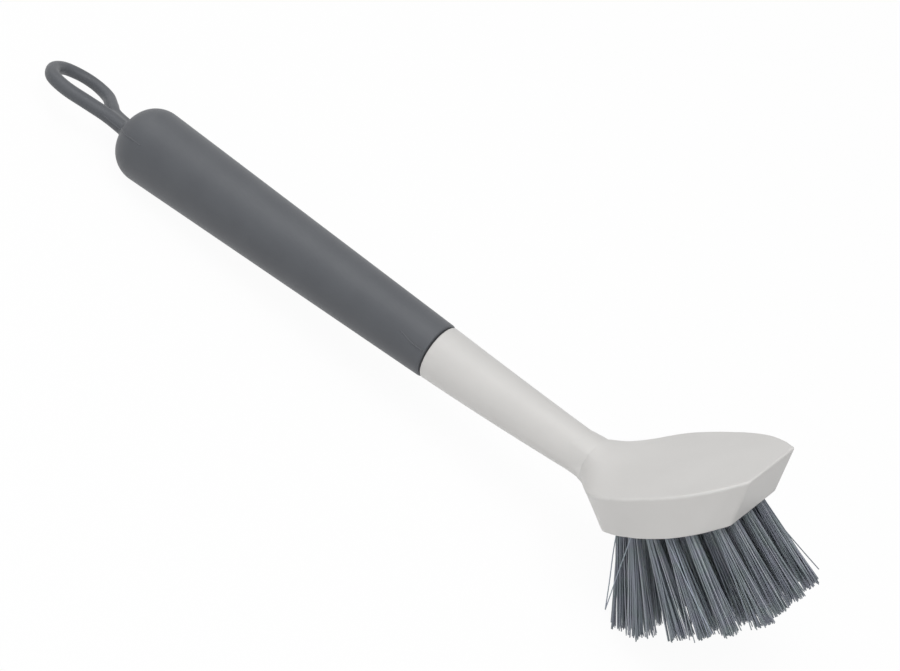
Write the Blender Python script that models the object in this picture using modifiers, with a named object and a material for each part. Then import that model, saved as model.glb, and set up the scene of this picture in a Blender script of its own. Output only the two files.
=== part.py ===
"""Dish brush: a moulded head with its neck and tang, a soft grip sleeve with its hanging loop,
the bristle tufts, and the flat wire anchors that hold the tufts in the head.

The brush is modelled along its handle: X runs from the loop's tip towards the head, Y is across,
and Z points away from the bristles. An empty then lays the whole brush on a level surface, where
it stands on its rearmost bristle tips and on the back of its grip. All sizes are in metres.
"""

import math
import random

import bmesh
import bpy
from mathutils import Matrix, Vector

OBJECT_NAME = "dish_brush"

# Gap between pieces that touch on the real brush
CLEARANCE = 0.0003

# Grip sleeve: a tapered soft moulding with a domed back end
GRIP_LENGTH = 0.1188
GRIP_BACK_RADIUS = 0.0117
GRIP_FRONT_RADIUS = 0.0087
GRIP_BACK_ROUNDING = 0.0093
GRIP_LIP_ROUNDING = 0.0007
GRIP_WALL = 0.0022
GRIP_END_WALL = 0.0150

# Hanging loop: a round cord moulded in one piece with the sleeve
LOOP_REACH = 0.0338
LOOP_WIDTH = 0.0172
LOOP_CORD = 0.0037
LOOP_ROOT_DEPTH = 0.0030
LOOP_ROLL = math.radians(-19.0)
LOOP_LIFT = math.radians(3.9)

# Tang: the stiff core inside the sleeve, with ribs that lock the two together
RIB_COUNT = 4
RIB_WIDTH = 0.0030
RIB_HEIGHT = 0.0008
TANG_OVERRUN = 0.0020

# Neck: round where it meets the sleeve, a slimmer oval where it meets the head
NECK_LENGTH = 0.0528
NECK_STEP = 0.0002
NECK_END_WIDTH = 0.0131
NECK_END_ABOVE = 0.0077
NECK_END_BELOW = 0.0050
NECK_BOW_ABOVE = 1.0
NECK_BOW_BELOW = -0.57

# Head: a block tilted up from the handle's line, flat on top, below and in front
HEAD_REACH = 0.0526
HEAD_WIDTH = 0.0468
HEAD_FRONT_RISE = 0.0369
HEAD_TILT = math.radians(38.0)
HEAD_DEPTH = 0.0126
HEAD_BASE_WIDTH = 0.0418
HEAD_BASE_REAR = 0.0147
HEAD_REAR_WALL_RUN = 0.0090
HEAD_EDGE_ROUNDING = 0.0006
NECK_ROOT_BLEND = 0.0078

# Bristle tufts, set in blind holes in rows across the head, rear row first
TUFTS_PER_ROW = (4, 5, 5, 6, 5, 4)
ROW_LEAN_DEGREES = (-11.5, -3.5, 12.0, 15.5, 16.4, 18.6)
LEAN_AT_ROW_END = math.radians(10.5)
TUFT_EDGE_MARGIN = 0.0056
TUFT_REAR_MARGIN = 0.0105
TUFT_FRONT_MARGIN = 0.0066
TUFT_ROOT_RADIUS = 0.0015
HOLE_DEPTH = 0.0073
ROOT_RECESS = 0.0010
BRISTLE_LENGTH = 0.0310
BRISTLE_RADIUS = 0.00027
BRISTLE_GRIP = 0.0005
LENGTH_SCATTER = 0.0009
TIP_TRIM = 0.0005
TUFT_SPLAY = math.radians(3.0)
LEAN_SCATTER = math.radians(0.5)

# Anchors: short flat wires, each across the fold of its tuft at the bottom of the hole
ANCHOR_THICKNESS = 0.00045
ANCHOR_HEIGHT = 0.0020
ANCHOR_WIDTH = 0.0030
FOLD_THICKNESS = 0.0008

# The loop's centre line from one root to the other, in shares of its reach and its width
LOOP_PATH_SHARES = (
    (0.22, -0.116), (0.45, -0.222), (0.68, -0.338), (0.88, -0.285), (0.98, -0.050), (1.00, 0.162),
    (0.965, 0.389), (0.84, 0.589), (0.68, 0.662), (0.50, 0.585), (0.354, 0.345), (0.213, 0.150),
)
LOOP_ROOT_SHARES = (-0.116, 0.130)

# Half widths of the head's rim: share of the head's reach, share of its half width
RIM_SHARES = (
    (0.0, 0.279), (0.057, 0.280), (0.103, 0.300), (0.148, 0.415), (0.192, 0.605), (0.272, 0.830),
    (0.359, 0.949), (0.470, 0.996), (0.591, 0.991), (0.702, 0.953), (0.798, 0.855), (0.886, 0.709),
    (1.0, 0.513),
)

# Half widths of the head's flat base, from its rear edge to its front edge, in shares of both
BASE_SHARES = (
    (0.0, 0.240), (0.058, 0.478), (0.122, 0.632), (0.216, 0.813), (0.370, 0.943), (0.552, 1.0),
    (0.697, 0.981), (0.810, 0.895), (0.908, 0.742), (1.0, 0.574),
)

# How a tuft's strands are laid out: strands in each ring, and the ring's share of the root radius
STRAND_RING_SHARES = ((1, 0.0), (5, 0.43), (8, 0.82))

# Counts that set how finely the shapes are divided
GRIP_STEPS = 32
TANG_STEPS = 20
DOME_STEPS = 6
NECK_STATIONS = 6
FLARE_STATIONS = 11
HEAD_STATIONS = 10
TOP_POINTS = 8
WALL_POINTS = 4
BASE_POINTS = 4
HOLE_SIDES = 10
ROOT_SIDES = 8
BRISTLE_SIDES = 3
CORD_DIVISIONS = 3
MERGE_DISTANCE = 0.00001
SLOPE_STEP = 0.0006

# How the neck turns into the head: where the change ends along the head's reach, how long each
# line of the section takes over it, and how late the base's lines start
FLARE_END_SHARE = 0.36
FLARE_SPAN_SHARE = 0.65
FLARE_LAG_SHARE = 0.35

# Places along the handle that follow from the sizes above
RING_X = LOOP_REACH + GRIP_LENGTH
NECK_END_X = RING_X + NECK_LENGTH
HEAD_FRONT_X = NECK_END_X + HEAD_REACH
ROOT_LENGTH = HOLE_DEPTH - ROOT_RECESS - CLEARANCE

ACROSS = Vector((0.0, 1.0, 0.0))
HEAD_FORWARD = Vector((math.cos(HEAD_TILT), 0.0, math.sin(HEAD_TILT)))
HEAD_DOWN = Vector((math.sin(HEAD_TILT), 0.0, -math.cos(HEAD_TILT)))
HEAD_TOP_FRONT = Vector((HEAD_FRONT_X, 0.0, HEAD_FRONT_RISE))


def clear_scene():
    """Remove every object that the file opened with."""
    for obj in list(bpy.data.objects):
        bpy.data.objects.remove(obj, do_unlink=True)


def new_collection(name):
    collection = bpy.data.collections.new(name)
    bpy.context.scene.collection.children.link(collection)
    return collection


def new_material(name, colour, roughness, metallic=0.0):
    material = bpy.data.materials.new(name)
    material.use_nodes = True
    shader = material.node_tree.nodes["Principled BSDF"]
    shader.inputs["Base Color"].default_value = (*colour, 1.0)
    shader.inputs["Roughness"].default_value = roughness
    shader.inputs["Metallic"].default_value = metallic
    return material


def add_part(name, mesh, home, material):
    """Put a mesh in the brush as one named part."""
    part = bpy.data.objects.new(name, mesh)
    home["parts"].objects.link(part)
    part.parent = home["pose"]
    part.data.materials.append(material)
    return part


def add_cutter(name, mesh, home):
    """Put a mesh beside the brush as a tool for a Boolean, hidden from every picture."""
    cutter = bpy.data.objects.new(name, mesh)
    home["cutters"].objects.link(cutter)
    cutter.parent = home["pose"]
    cutter.hide_render = True
    cutter.display_type = "WIRE"
    return cutter


def add_boolean(obj, cutter, operation):
    modifier = obj.modifiers.new(cutter.name, "BOOLEAN")
    modifier.object = cutter
    modifier.operation = operation
    modifier.solver = "EXACT"


def shade_smooth(obj, sharp_angle=math.radians(38.0)):
    obj.data.shade_smooth()
    obj.data.set_sharp_from_angle(angle=sharp_angle)


def mesh_from_bmesh(bm, name):
    bmesh.ops.recalc_face_normals(bm, faces=bm.faces)
    mesh = bpy.data.meshes.new(name)
    bm.to_mesh(mesh)
    bm.free()
    return mesh


def smooth_step(value):
    value = min(max(value, 0.0), 1.0)
    return value * value * (3.0 - 2.0 * value)


def along_shares(shares, at):
    """Read a table of (place, value) shares at one place, on a curve that never overshoots."""
    last = len(shares) - 1
    low = max(index for index in range(last) if shares[index][0] <= max(at, 0.0))
    slopes = []
    for index in (low, low + 1):
        before, here, after = shares[max(index - 1, 0)], shares[index], shares[min(index + 1, last)]
        rise_in = (here[1] - before[1]) / (here[0] - before[0]) if index > 0 else None
        rise_out = (after[1] - here[1]) / (after[0] - here[0]) if index < last else None
        if rise_in is None or rise_out is None:
            slopes.append(rise_out if rise_in is None else rise_in)
        elif rise_in * rise_out <= 0.0:
            slopes.append(0.0)
        else:
            slopes.append(2.0 * rise_in * rise_out / (rise_in + rise_out))
    (x0, y0), (x1, y1) = shares[low], shares[low + 1]
    span = x1 - x0
    t = (at - x0) / span
    from_start = (1.0 + 2.0 * t) * (1.0 - t) ** 2 * y0 + t * (1.0 - t) ** 2 * span * slopes[0]
    to_end = t * t * (3.0 - 2.0 * t) * y1 + t * t * (t - 1.0) * span * slopes[1]
    return from_start + to_end


def frame_along(origin, direction):
    """Matrix that carries local Z along a direction, with local Y as near to across as it goes."""
    z_axis = direction.normalized()
    x_axis = ACROSS.cross(z_axis).normalized()
    y_axis = z_axis.cross(x_axis)
    rotation = Matrix((x_axis, y_axis, z_axis)).transposed().to_4x4()
    return Matrix.Translation(origin) @ rotation


# Grip sleeve and tang

def grip_radius(along):
    """Outer radius of the sleeve at a distance from the top of its dome."""
    if along < GRIP_BACK_ROUNDING:
        left = GRIP_BACK_ROUNDING - along
        flat = GRIP_BACK_RADIUS - GRIP_BACK_ROUNDING
        return flat + math.sqrt(GRIP_BACK_ROUNDING ** 2 - left ** 2)
    share = (along - GRIP_BACK_ROUNDING) / (GRIP_LENGTH - GRIP_BACK_ROUNDING)
    return GRIP_BACK_RADIUS + (GRIP_FRONT_RADIUS - GRIP_BACK_RADIUS) * share


def core_side(gap):
    """Side of the tang from its back end to the sleeve's mouth, moved out by a gap."""
    def radius(along):
        return grip_radius(along) - GRIP_WALL - CLEARANCE + gap

    start = GRIP_END_WALL + CLEARANCE - gap
    pitch = (GRIP_LENGTH - GRIP_END_WALL) / (RIB_COUNT + 1)
    points = [(radius(start), start)]
    for rib in range(1, RIB_COUNT + 1):
        middle = GRIP_END_WALL + pitch * rib
        reach = RIB_WIDTH / 2 + gap
        for side in (-reach, reach):
            foot = (radius(middle + side), middle + side)
            crest = (foot[0] + RIB_HEIGHT, foot[1])
            points.extend((foot, crest) if side < 0.0 else (crest, foot))
    points.append((radius(GRIP_LENGTH), GRIP_LENGTH))
    return points


def grip_profile():
    """Half section of the sleeve: up the bore, round the lip and down the outside to the dome."""
    bore = [(0.0, GRIP_END_WALL)] + core_side(CLEARANCE)
    lip_radius = grip_radius(GRIP_LENGTH)
    lip = [
        (lip_radius - GRIP_LIP_ROUNDING, GRIP_LENGTH),
        (lip_radius - GRIP_LIP_ROUNDING * (1.0 - math.sin(math.radians(45.0))),
         GRIP_LENGTH - GRIP_LIP_ROUNDING * (1.0 - math.cos(math.radians(45.0)))),
        (lip_radius, GRIP_LENGTH - GRIP_LIP_ROUNDING),
    ]
    flat = GRIP_BACK_RADIUS - GRIP_BACK_ROUNDING
    dome = []
    for step in range(DOME_STEPS + 1):
        angle = math.radians(90.0) * step / DOME_STEPS
        dome.append((flat + GRIP_BACK_ROUNDING * math.cos(angle),
                     GRIP_BACK_ROUNDING * (1.0 - math.sin(angle))))
    return bore + lip + dome + [(0.0, 0.0)]


def tang_profile():
    """Half section of the tang, from its overrun inside the neck down to its back end."""
    side = core_side(0.0)
    side[-1] = (side[-1][0], GRIP_LENGTH + CLEARANCE + TANG_OVERRUN)
    side.append((0.0, side[-1][1]))
    return list(reversed(side)) + [(0.0, side[0][1])]


def turned_mesh(name, profile, steps, home):
    """Turn a half section, given as (radius, distance from the dome's top), about the handle."""
    outline = bpy.data.meshes.new(name + "_profile")
    points = [(radius, 0.0, along) for radius, along in profile]
    outline.from_pydata(points, [(i, i + 1) for i in range(len(points) - 1)], [])
    lathe = bpy.data.objects.new(name + "_profile", outline)
    home["cutters"].objects.link(lathe)
    screw = lathe.modifiers.new("turn", "SCREW")
    screw.axis = "Z"
    screw.steps = steps
    screw.render_steps = steps
    screw.use_merge_vertices = True
    screw.merge_threshold = MERGE_DISTANCE
    mesh = evaluated_mesh(lathe, name)
    bpy.data.objects.remove(lathe)
    bpy.data.meshes.remove(outline)
    laid_along = Matrix.Rotation(math.radians(90.0), 4, "Y")
    mesh.transform(Matrix.Translation((LOOP_REACH, 0.0, 0.0)) @ laid_along)
    return mesh


def evaluated_mesh(obj, name):
    """The mesh that an object's modifiers or curve settings make, with its loose caps welded."""
    bpy.context.view_layer.update()
    depsgraph = bpy.context.evaluated_depsgraph_get()
    mesh = bpy.data.meshes.new_from_object(obj.evaluated_get(depsgraph), depsgraph=depsgraph)
    mesh.name = name
    bm = bmesh.new()
    bm.from_mesh(mesh)
    bmesh.ops.remove_doubles(bm, verts=bm.verts, dist=MERGE_DISTANCE)
    bm.to_mesh(mesh)
    bm.free()
    return mesh


def loop_points():
    """Centre line of the hanging loop, in the handle's coordinates."""
    reach = LOOP_REACH - LOOP_CORD / 2
    flat = [(-LOOP_ROOT_DEPTH, LOOP_ROOT_SHARES[0] * LOOP_WIDTH)]
    flat += [(out * reach, side * LOOP_WIDTH) for out, side in LOOP_PATH_SHARES]
    flat += [(-LOOP_ROOT_DEPTH, LOOP_ROOT_SHARES[1] * LOOP_WIDTH)]
    turn = Matrix.Rotation(LOOP_LIFT, 4, "Y") @ Matrix.Rotation(LOOP_ROLL, 4, "X")
    hinge = Matrix.Translation((LOOP_REACH, 0.0, 0.0))
    return [hinge @ turn @ Vector((-out, side, 0.0)) for out, side in flat]


def loop_mesh(home):
    curve = bpy.data.curves.new("loop_cord", "CURVE")
    curve.dimensions = "3D"
    curve.bevel_depth = LOOP_CORD / 2
    curve.bevel_resolution = CORD_DIVISIONS
    curve.resolution_u = CORD_DIVISIONS
    curve.use_fill_caps = True
    points = loop_points()
    spline = curve.splines.new("BEZIER")
    spline.bezier_points.add(len(points) - 1)
    for knot, place in zip(spline.bezier_points, points):
        knot.co = place
        knot.handle_left_type = "AUTO"
        knot.handle_right_type = "AUTO"
    cord = bpy.data.objects.new("loop_cord", curve)
    home["cutters"].objects.link(cord)
    mesh = evaluated_mesh(cord, "loop_cord")
    bpy.data.objects.remove(cord)
    return mesh


def make_grip_sleeve(home, material):
    turned = turned_mesh("grip_sleeve", grip_profile(), GRIP_STEPS, home)
    sleeve = add_part("grip_sleeve", turned, home, material)
    loop = add_cutter("loop_cord", loop_mesh(home), home)
    shade_smooth(sleeve)
    shade_smooth(loop)
    add_boolean(sleeve, loop, "UNION")


# Head, neck and tang

def neck_height(share, end, bow):
    """Height of the neck's top or bottom line, round at the sleeve and at its own size at the end.
    A bow above zero brings most of the change near the sleeve."""
    start = GRIP_FRONT_RADIUS - NECK_STEP
    return start + (end - start) * (share + bow * share * (1.0 - share))


def rim_height(x):
    """Height of the head's flat top at a place along the handle."""
    return HEAD_FRONT_RISE + (x - HEAD_FRONT_X) * math.tan(HEAD_TILT)


def base_height(x):
    return rim_height(x) - HEAD_DEPTH / math.cos(HEAD_TILT)


def rim_half_width(x):
    return along_shares(RIM_SHARES, (x - NECK_END_X) / HEAD_REACH) * HEAD_WIDTH / 2


def base_half_width(x):
    rear = NECK_END_X + HEAD_BASE_REAR
    share = max((x - rear) / (HEAD_FRONT_X - rear), 0.0)
    return along_shares(BASE_SHARES, share) * HEAD_BASE_WIDTH / 2


def oval_section(x, half_width, above, below):
    """Half of an oval section, from its top to its bottom."""
    steps = ((0.0, 90.0, TOP_POINTS), (90.0, 150.0, WALL_POINTS), (150.0, 180.0, BASE_POINTS))
    points = []
    for first, last, count in steps:
        for step in range(count):
            angle = math.radians(first + (last - first) * step / count)
            height = above if angle < math.radians(90.0) else below
            points.append(Vector((x, half_width * math.sin(angle), height * math.cos(angle))))
    points.append(Vector((x, 0.0, -below)))
    return points


def head_section(x):
    """Half of a section through the head: top with the neck's root on it, wall, and base."""
    rim_y, base_y = rim_half_width(x), base_half_width(x)
    rim_z = rim_height(x)
    rear_x = NECK_END_X + HEAD_BASE_REAR
    base_z = base_height(x)
    if x < rear_x:
        drop = -NECK_END_BELOW - base_height(rear_x)
        base_z = -NECK_END_BELOW - drop * smooth_step(1.0 - (rear_x - x) / HEAD_REAR_WALL_RUN)
    over = NECK_END_ABOVE - rim_z
    crown = (over + math.sqrt(over ** 2 + NECK_ROOT_BLEND ** 2)) / 2
    points = []
    for step in range(TOP_POINTS):
        share = math.sin(math.radians(90.0) * step / TOP_POINTS)
        points.append(Vector((x, rim_y * share, rim_z + crown * (1.0 - share ** 2))))
    for step in range(WALL_POINTS):
        share = step / WALL_POINTS
        points.append(Vector((x, rim_y + (base_y - rim_y) * share, rim_z + (base_z - rim_z) * share)))
    for step in range(BASE_POINTS + 1):
        points.append(Vector((x, base_y * (1.0 - step / BASE_POINTS), base_z)))
    return points


def neck_sections():
    start = RING_X + CLEARANCE
    radius = GRIP_FRONT_RADIUS - NECK_STEP
    for station in range(NECK_STATIONS):
        share = station / NECK_STATIONS
        half_width = radius + (NECK_END_WIDTH / 2 - radius) * share
        yield oval_section(start + (NECK_END_X - start) * share, half_width,
                           neck_height(share, NECK_END_ABOVE, NECK_BOW_ABOVE),
                           neck_height(share, NECK_END_BELOW, NECK_BOW_BELOW))


def flare_sections():
    """Sections that turn from the neck's oval into the head."""
    for station in range(FLARE_STATIONS):
        share = station / FLARE_STATIONS
        x = NECK_END_X + HEAD_REACH * FLARE_END_SHARE * share
        oval = oval_section(x, rim_half_width(x), NECK_END_ABOVE, NECK_END_BELOW)
        head = head_section(x)
        section = []
        for index, (start, end) in enumerate(zip(oval, head)):
            below_rim = max(index - TOP_POINTS, 0) / (len(oval) - 1 - TOP_POINTS)
            turned = smooth_step((share - FLARE_LAG_SHARE * below_rim) / FLARE_SPAN_SHARE)
            section.append(start.lerp(end, turned))
        yield section


def block_sections():
    start = NECK_END_X + HEAD_REACH * FLARE_END_SHARE
    for station in range(HEAD_STATIONS + 1):
        yield head_section(start + (HEAD_FRONT_X - start) * station / HEAD_STATIONS)


def lofted_mesh(name, half_sections):
    """Skin a row of half sections and their mirrored halves, and close both ends."""
    bm = bmesh.new()
    rings = []
    for half in half_sections:
        other = [Vector((p.x, -p.y, p.z)) for p in reversed(half[1:-1])]
        rings.append([bm.verts.new(p) for p in half + other])
    for near, far in zip(rings, rings[1:]):
        for index in range(len(near)):
            after = (index + 1) % len(near)
            bm.faces.new((near[index], near[after], far[after], far[index]))
    bm.faces.new(rings[0])
    bm.faces.new(rings[-1])
    return mesh_from_bmesh(bm, name)


def add_rod(bm, sides, radius, length, place):
    """Add a closed straight prism whose middle is at the place's origin."""
    bmesh.ops.create_cone(bm, cap_ends=True, segments=sides, depth=length, matrix=place,
                          radius1=radius, radius2=radius)


def hole_mesh(tufts):
    """All the blind tuft holes as one cutter, which runs out of the head as far as it runs in."""
    bm = bmesh.new()
    for tuft in tufts:
        add_rod(bm, HOLE_SIDES, TUFT_ROOT_RADIUS + CLEARANCE, 2 * HOLE_DEPTH, tuft["frame"])
    return mesh_from_bmesh(bm, "tuft_holes")


def make_head(home, material, tufts):
    sections = list(neck_sections()) + list(flare_sections()) + list(block_sections())
    head = add_part("head_and_neck", lofted_mesh("head_and_neck", sections), home, material)
    bevel = head.modifiers.new("rounded_edges", "BEVEL")
    bevel.width = HEAD_EDGE_ROUNDING
    bevel.segments = 2
    bevel.limit_method = "ANGLE"
    bevel.angle_limit = math.radians(50.0)
    tang = add_cutter("tang", turned_mesh("tang", tang_profile(), TANG_STEPS, home), home)
    holes = add_cutter("tuft_holes", hole_mesh(tufts), home)
    shade_smooth(head)
    shade_smooth(tang)
    add_boolean(head, tang, "UNION")
    add_boolean(head, holes, "DIFFERENCE")


# Bristle tufts and anchors

def base_point(back, side):
    """Point on the head's base, from its distance behind the top front edge and its place across."""
    return HEAD_TOP_FRONT - HEAD_FORWARD * back + HEAD_DOWN * HEAD_DEPTH + ACROSS * side


def row_half_width(back):
    """Half width of a row of tufts whose outer ones keep their margin from the base's outline."""
    x = base_point(back, 0.0).x
    widening = base_half_width(x + SLOPE_STEP) - base_half_width(x - SLOPE_STEP)
    slope = widening * math.cos(HEAD_TILT) / (2 * SLOPE_STEP)
    return base_half_width(x) - TUFT_EDGE_MARGIN * math.hypot(1.0, slope)


def tuft_direction(lean_degrees, side_share):
    """Direction of a tuft from its row's lean and its place in the row, from -1 to 1."""
    ahead = HEAD_FORWARD * math.tan(math.radians(lean_degrees))
    return (HEAD_DOWN + ahead + ACROSS * math.tan(LEAN_AT_ROW_END * side_share)).normalized()


def plan_tufts():
    """Root, direction and strands of every tuft, in the handle's coordinates."""
    scatter = random.Random(11)
    base_rear_x = NECK_END_X + HEAD_BASE_REAR
    base_front_back = HEAD_DEPTH * math.tan(HEAD_TILT)
    base_length = (HEAD_FRONT_X - base_rear_x) / math.cos(HEAD_TILT)
    first = base_front_back + base_length - TUFT_REAR_MARGIN
    last = base_front_back + TUFT_FRONT_MARGIN
    tufts = []
    for row, (count, lean_degrees) in enumerate(zip(TUFTS_PER_ROW, ROW_LEAN_DEGREES)):
        back = first + (last - first) * row / (len(TUFTS_PER_ROW) - 1)
        for column in range(count):
            share = 2.0 * column / (count - 1) - 1.0
            direction = tuft_direction(lean_degrees, share)
            frame = frame_along(base_point(back, share * row_half_width(back)), direction)
            tufts.append({"frame": frame, "strands": plan_strands(frame, scatter)})
    return tufts


def plan_strands(frame, scatter):
    """Start and tip of each strand of a tuft."""
    strands = []
    start_depth = ROOT_RECESS + BRISTLE_GRIP
    for count, share in STRAND_RING_SHARES:
        for index in range(count):
            angle = math.radians(360.0) * index / count
            outward = Vector((math.cos(angle), math.sin(angle), 0.0)) * share
            stray = Vector((scatter.uniform(-1, 1), scatter.uniform(-1, 1), 0.0))
            run = outward * math.tan(TUFT_SPLAY) + stray * math.tan(LEAN_SCATTER)
            run.z = 1.0
            length = BRISTLE_LENGTH + scatter.uniform(-1, 1) * LENGTH_SCATTER
            start = outward * TUFT_ROOT_RADIUS
            start.z = -start_depth
            strands.append((frame @ start, frame @ (start + run * (length + start_depth))))
    return strands


def strand_mesh(strands, floor_point, floor_normal):
    """The strands of one tuft, cut flat where they pass the surface that the brush lies on."""
    bm = bmesh.new()
    for start, tip in strands:
        run = tip - start
        place = frame_along((start + tip) / 2, run)
        add_rod(bm, BRISTLE_SIDES, BRISTLE_RADIUS, run.length, place)
    cut = bmesh.ops.bisect_plane(bm, geom=bm.verts[:] + bm.edges[:] + bm.faces[:], dist=0.0,
                                 plane_co=floor_point, plane_no=floor_normal, clear_inner=True)
    rim = [item for item in cut["geom_cut"] if isinstance(item, bmesh.types.BMEdge)]
    if rim:
        bmesh.ops.holes_fill(bm, edges=rim, sides=0)
    return mesh_from_bmesh(bm, "strands")


def box_mesh(name, size):
    bm = bmesh.new()
    bmesh.ops.create_cube(bm, size=1.0, matrix=Matrix.Diagonal((*size, 1.0)))
    return mesh_from_bmesh(bm, name)


def root_mesh():
    """The folded foot of a tuft, from the bottom of its hole to just inside the mouth."""
    bm = bmesh.new()
    middle = Matrix.Translation((0.0, 0.0, -ROOT_RECESS - ROOT_LENGTH / 2))
    add_rod(bm, ROOT_SIDES, TUFT_ROOT_RADIUS, ROOT_LENGTH, middle)
    return mesh_from_bmesh(bm, "tuft_root")


def make_tufts(home, bristle_material, anchor_material, tufts, floor_point, floor_normal):
    window_height = ANCHOR_HEIGHT + 2 * CLEARANCE
    window_length = 2 * TUFT_ROOT_RADIUS + ANCHOR_WIDTH
    anchor_depth = ROOT_RECESS + ROOT_LENGTH - FOLD_THICKNESS - window_height / 2
    window = box_mesh("anchor_window", (ANCHOR_THICKNESS + 2 * CLEARANCE, window_length, window_height))
    anchor_mesh = box_mesh("anchor", (ANCHOR_THICKNESS, ANCHOR_WIDTH, ANCHOR_HEIGHT))
    for number, tuft in enumerate(tufts, start=1):
        label = f"{number:02d}"
        anchor_frame = tuft["frame"] @ Matrix.Translation((0.0, 0.0, -anchor_depth))
        root = add_part("tuft_" + label, root_mesh(), home, bristle_material)
        root.matrix_local = tuft["frame"]
        cut_strands = strand_mesh(tuft["strands"], floor_point, floor_normal)
        strands = add_cutter("strands_" + label, cut_strands, home)
        slot = add_cutter("anchor_window_" + label, window, home)
        slot.matrix_local = anchor_frame
        add_boolean(root, strands, "UNION")
        add_boolean(root, slot, "DIFFERENCE")
        anchor = add_part("anchor_" + label, anchor_mesh.copy(), home, anchor_material)
        anchor.matrix_local = anchor_frame


# Lying pose

def resting_pitch(tufts):
    """Angle that brings the dome's edge and the lowest bristle tips down to one level surface."""
    centre = dome_centre()
    drop = -(GRIP_BACK_ROUNDING + TIP_TRIM)
    pitches = []
    for tuft in tufts:
        for _, tip in tuft["strands"]:
            reach = math.hypot(tip.x - centre.x, tip.z - centre.z)
            bearing = math.atan2(tip.z - centre.z, tip.x - centre.x)
            pitches.append(math.asin(drop / reach) - bearing)
    return max(pitches)


def dome_centre():
    """Centre of the rounding that the lowest point of the lying grip belongs to."""
    return Vector((LOOP_REACH + GRIP_BACK_ROUNDING, 0.0, GRIP_BACK_ROUNDING - GRIP_BACK_RADIUS))


def centre_on_origin(home):
    """Slide the lying brush so that the middle of its outline is over the origin."""
    bpy.context.view_layer.update()
    depsgraph = bpy.context.evaluated_depsgraph_get()
    spots = []
    for part in home["parts"].objects:
        if part.type == "MESH":
            evaluated = part.evaluated_get(depsgraph)
            spots.extend(evaluated.matrix_world @ vertex.co for vertex in evaluated.data.vertices)
    pose = home["pose"]
    pose.location.x -= (min(p.x for p in spots) + max(p.x for p in spots)) / 2
    pose.location.y -= (min(p.y for p in spots) + max(p.y for p in spots)) / 2


def main():
    clear_scene()
    pose = bpy.data.objects.new("lying_pose", None)
    home = {"parts": new_collection(OBJECT_NAME), "cutters": new_collection("cutters"), "pose": pose}
    home["parts"].objects.link(pose)

    grip_grey = new_material("grip_soft_plastic", (0.125, 0.137, 0.155), 0.62)
    head_grey = new_material("head_hard_plastic", (0.64, 0.63, 0.61), 0.42)
    bristle_grey = new_material("bristle_nylon", (0.115, 0.138, 0.165), 0.38)
    anchor_steel = new_material("anchor_wire", (0.62, 0.62, 0.60), 0.35, metallic=1.0)

    tufts = plan_tufts()
    pitch = resting_pitch(tufts)
    floor_normal = Vector((math.sin(pitch), 0.0, math.cos(pitch)))
    floor_point = dome_centre() - floor_normal * GRIP_BACK_ROUNDING
    pose.rotation_euler = (0.0, -pitch, 0.0)
    pose.location.z = -floor_point.dot(floor_normal)

    make_grip_sleeve(home, grip_grey)
    make_head(home, head_grey, tufts)
    make_tufts(home, bristle_grey, anchor_steel, tufts, floor_point, floor_normal)
    centre_on_origin(home)


main()
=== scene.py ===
"""Looks of the dish brush: its soft grip with the hanging loop, its head with the neck, and its
bristles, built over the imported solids.

Every shape is worked out along the handle, where X runs from the loop's tip towards the head, Y is
across and Z points away from the bristles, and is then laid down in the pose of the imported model.
The grip and the head are each one smooth surface, found on a grid from a field that is negative
inside. All sizes are in metres.
"""

import math
import random

import bpy
import numpy as np
from mathutils import Matrix, Vector


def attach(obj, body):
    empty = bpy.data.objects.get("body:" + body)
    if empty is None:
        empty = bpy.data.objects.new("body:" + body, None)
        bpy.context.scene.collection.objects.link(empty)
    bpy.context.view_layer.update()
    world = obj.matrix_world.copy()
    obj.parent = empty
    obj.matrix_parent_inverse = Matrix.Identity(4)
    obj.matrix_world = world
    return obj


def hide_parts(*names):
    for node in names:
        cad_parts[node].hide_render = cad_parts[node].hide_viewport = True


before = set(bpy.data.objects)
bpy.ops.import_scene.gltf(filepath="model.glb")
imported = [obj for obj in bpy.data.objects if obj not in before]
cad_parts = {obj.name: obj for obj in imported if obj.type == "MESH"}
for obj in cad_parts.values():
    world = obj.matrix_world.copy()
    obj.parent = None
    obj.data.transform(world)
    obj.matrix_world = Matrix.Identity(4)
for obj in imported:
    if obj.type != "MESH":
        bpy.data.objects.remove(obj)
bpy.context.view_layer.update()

# Lying pose of the handle's coordinates
LYING_PITCH = math.radians(5.645878764162145)
LYING_PLACE = Vector((-0.1395116001367569, -0.00018455740064382553, 0.007448188960552216))

# Camera, in the handle's coordinates
CAMERA_PLACE = Vector((0.48114, -0.72020, 0.60104))
CAMERA_TURN = (math.radians(51.3117), math.radians(-16.1706), math.radians(36.9289))
CAMERA_LENS_MM = 139.2493
CAMERA_SENSOR_MM = 36.0
CAMERA_CLIP = (0.05, 20.0)

# Gaps between the sleeve and the moulding inside it
CLEARANCE = 0.0003
MOUTH_GAP = 0.0005

# Grip sleeve and hanging loop
GRIP_LENGTH = 0.1192
GRIP_BACK_RADIUS = 0.0117
GRIP_FRONT_RADIUS = 0.0087
GRIP_BACK_ROUNDING = 0.0093
GRIP_LIP_ROUNDING = 0.0006
GRIP_WALL = 0.0022
GRIP_END_WALL = 0.0150
GRIP_TAPER_END_SHARE = 1.1
LOOP_REACH = 0.0338
LOOP_WIDTH = 0.0172
LOOP_CORD = 0.0037
LOOP_ROOT_DEPTH = 0.0030
LOOP_ROLL = math.radians(-19.0)
LOOP_LIFT = math.radians(3.9)
LOOP_DIVISIONS = 10
LOOP_ROOT_BLEND = 0.0016
LOOP_WEB_BLEND = 0.0025
LOOP_WEB_START = 0.0180
LOOP_WEB_RUN = 0.0060
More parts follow.
